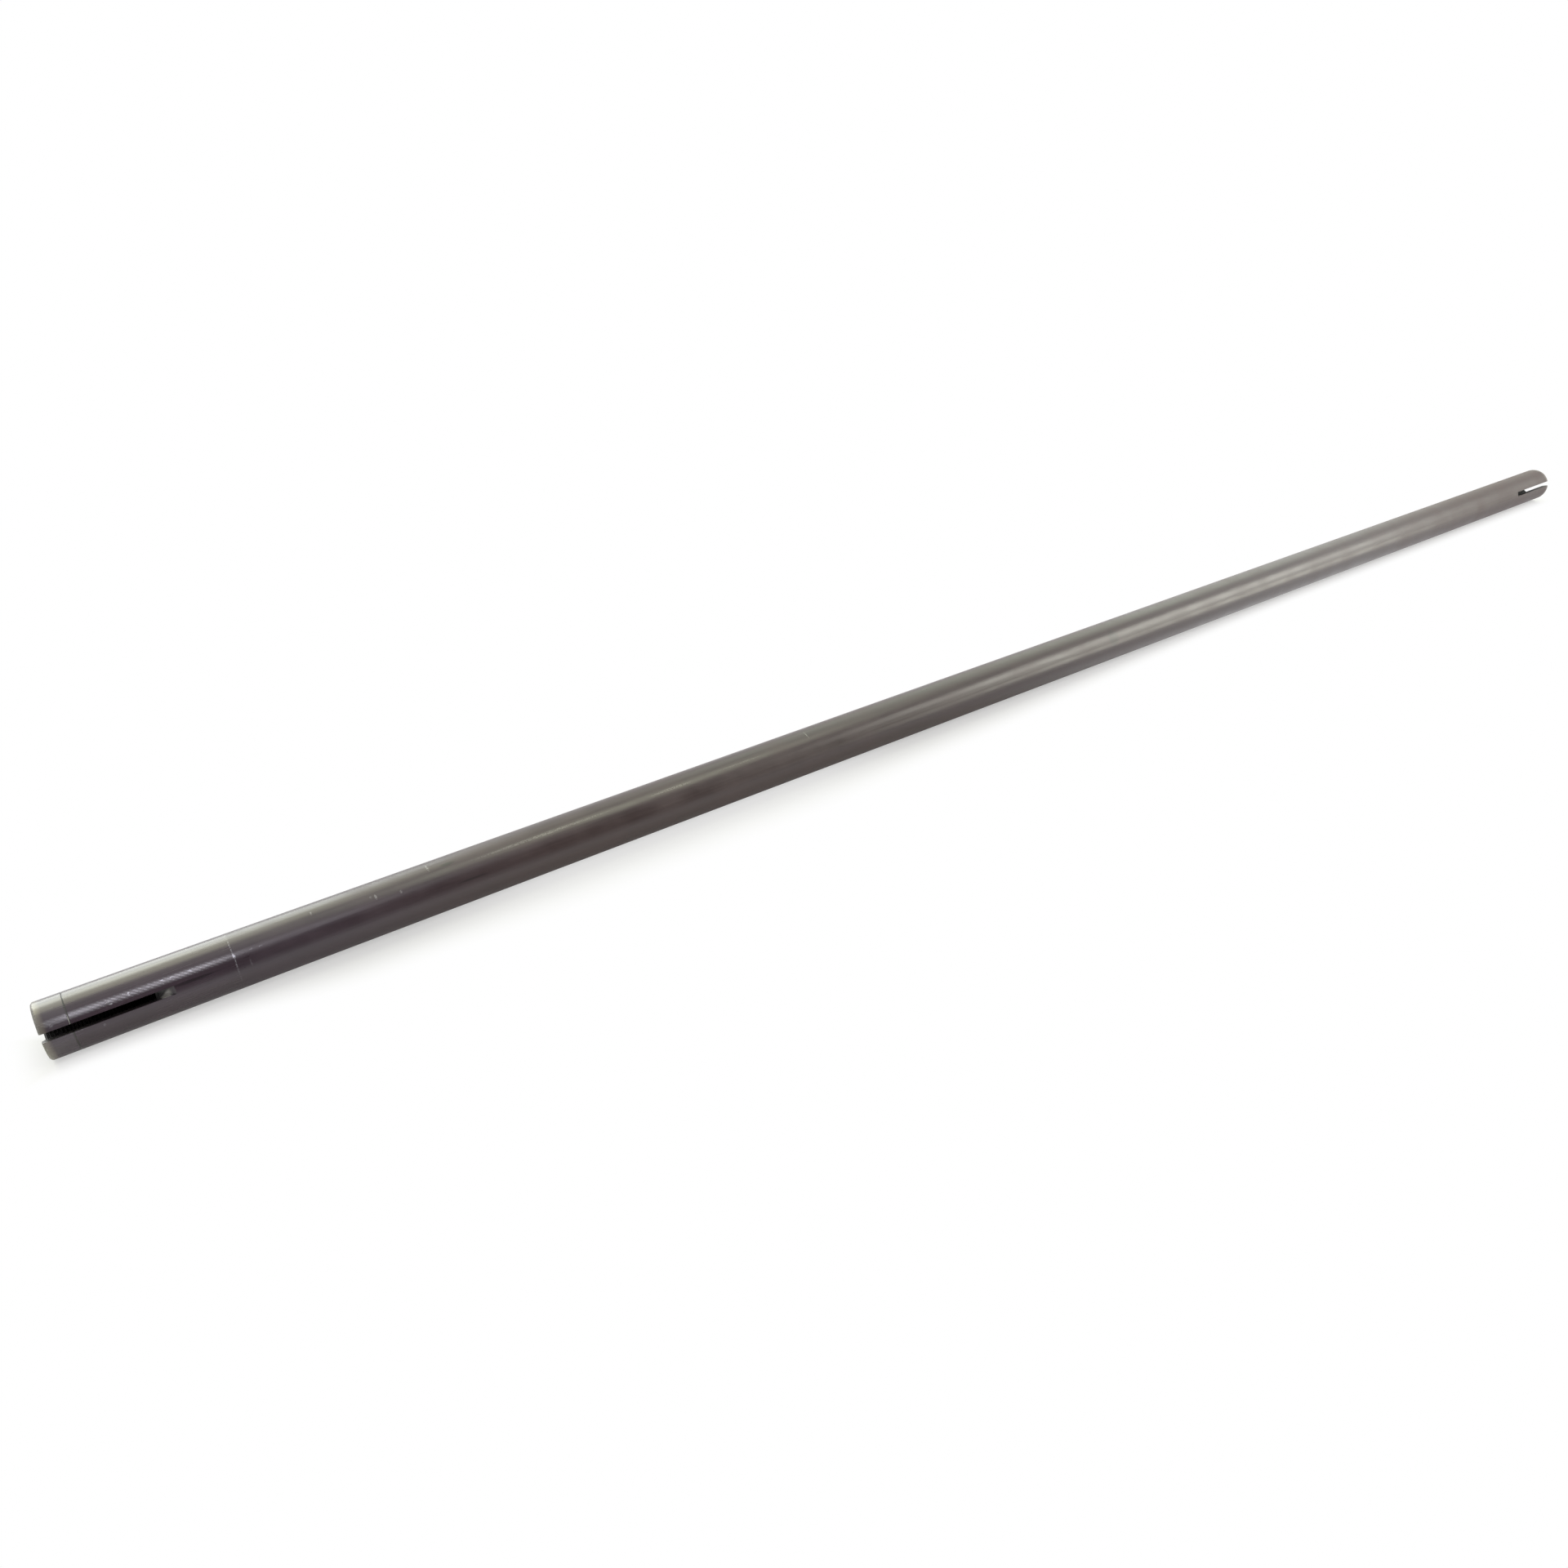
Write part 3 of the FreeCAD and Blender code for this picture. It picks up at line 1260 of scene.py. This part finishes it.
@dataclass(frozen=True)
class Surroundings:
    """The room: an even light on the object, and the white backdrop that shows and mirrors in it.

    Attributes:
        level: Strength of the even light.
        low: How bright the room behind the camera mirrors near the floor, against white.
        high: How bright it mirrors higher up.
        behind: How the room grows dim towards the camera, by the Y part of a direction.
        above: How its low part gives way to the high one, by the Z part of a direction.
    """

    level: float = 0.1
    low: float = 0.28
    high: float = 0.1
    behind: Fade = Fade(0.0, -0.7)
    above: Fade = Fade(0.12, 0.36)

    def build(self) -> None:
        """Add the world to the scene."""
        world = bpy.data.worlds.new("surroundings")
        bpy.context.scene.world = world
        graph = Graph(world)
        direction = graph.node("ShaderNodeTexCoord").outputs["Generated"]
        split = graph.node("ShaderNodeSeparateXYZ", {0: direction})
        behind = graph.ramp(graph.value(split, "Y"), self.behind)
        above = graph.ramp(graph.value(split, "Z"), self.above)
        room = graph.mix(grey(self.low), grey(self.high), above)
        mirrored = graph.mix(WHITE, room, behind)
        backdrop = graph.mix(mirrored, WHITE, graph.seen_straight())
        even = graph.node("ShaderNodeBackground", {"Color": WHITE, "Strength": self.level})
        white = graph.node("ShaderNodeBackground", {"Color": backdrop, "Strength": 1.0})
        seen = graph.most(graph.seen_straight(), graph.seen_otherwise())
        both = graph.node("ShaderNodeMixShader", {0: seen, 1: even.outputs[0], 2: white.outputs[0]})
        graph.node("ShaderNodeOutputWorld", {"Surface": both.outputs[0]})


@dataclass(frozen=True)
class Studio:
    """The pale floor, the soft lamps, the surroundings and the camera.

    Places are in metres, and the camera's roll is in degrees. Its focal length is in pixels of the
    photograph, and camera_sight is how far it sees.
    """

    floor_height: float
    floor_side: float = 60.0
    camera_place: Point = (-538.9 * MM, -440.5 * MM, 370.8 * MM)
    camera_target: Point = (-223.4 * MM, -5.3 * MM, -12.7 * MM)
    camera_roll: float = 2.06
    camera_sight: float = 200.0
    focal_pixels: float = 1439.6
    lamps: tuple[SoftLamp, ...] = (
        SoftLamp("back_sweep", 350.0, 20.0, 45.0, 1.99, (0.95, 1.0, 0.92)),
        SoftLamp("back_high", 350.0, 48.0, 45.0, 1.17, (0.98, 1.0, 0.71)),
        SoftLamp("right_low", 130.0, 4.0, 24.0, 1.11, (1.0, 0.98, 0.87)),
        SoftLamp("right_middle", 115.0, 28.0, 24.0, 1.15, (1.0, 0.99, 0.89)),
        SoftLamp("right_back", 50.0, 30.0, 40.0, 0.38, (0.83, 1.0, 0.73)),
        SoftLamp("right_high", 80.0, 66.0, 25.0, 0.55, (0.95, 1.0, 0.75)),
        SoftLamp("front_high", 180.0, 62.0, 12.0, 0.31, (0.95, 0.92, 1.0)),
    )

    def build(self) -> None:
        """Set the stage round the tube."""
        self.build_floor()
        Surroundings().build()
        for lamp in self.lamps:
            lamp.build()
        self.build_camera()

    def build_floor(self) -> None:
        """Lay the floor that the tube rests on."""
        deselect_all()
        bpy.ops.mesh.primitive_plane_add(size=self.floor_side, location=(0.0, 0.0, self.floor_height))
        floor = bpy.context.object
        floor.name = "floor"
        floor.data.materials.append(PaleFloorFinish().material())

    def build_camera(self) -> None:
        """Put the camera where the photograph's outline says that it stood."""
        lens = bpy.data.cameras.new("camera")
        lens.sensor_width = SENSOR_WIDTH
        lens.lens = self.focal_pixels / IMAGE_SIDE * SENSOR_WIDTH
        lens.clip_end = self.camera_sight
        camera = bpy.data.objects.new("camera", lens)
        sight = Vector(self.camera_target) - Vector(self.camera_place)
        roll = Quaternion((0.0, 0.0, 1.0), self.camera_roll * DEGREE)
        camera.location = self.camera_place
        camera.rotation_mode = "QUATERNION"
        camera.rotation_quaternion = sight.to_track_quat("-Z", "Y") @ roll
        bpy.context.scene.collection.objects.link(camera)
        bpy.context.scene.camera = camera
        bpy.context.scene.view_settings.view_transform = "Standard"


def main() -> None:
    """Build the tube and its studio, and report each piece."""
    logging.basicConfig(level=logging.INFO, format="%(name)s: %(message)s")
    tube = TieRodTube.from_frame()
    tube.build()
    tube.dress(tube.finish())
    LOG.info("%s has %d faces", tube.piece.name, len(tube.piece.data.polygons))
    Studio(floor_height=-tube.outside_radius).build()
    LOG.info("the studio is set")


if __name__ == "__main__":
    main()
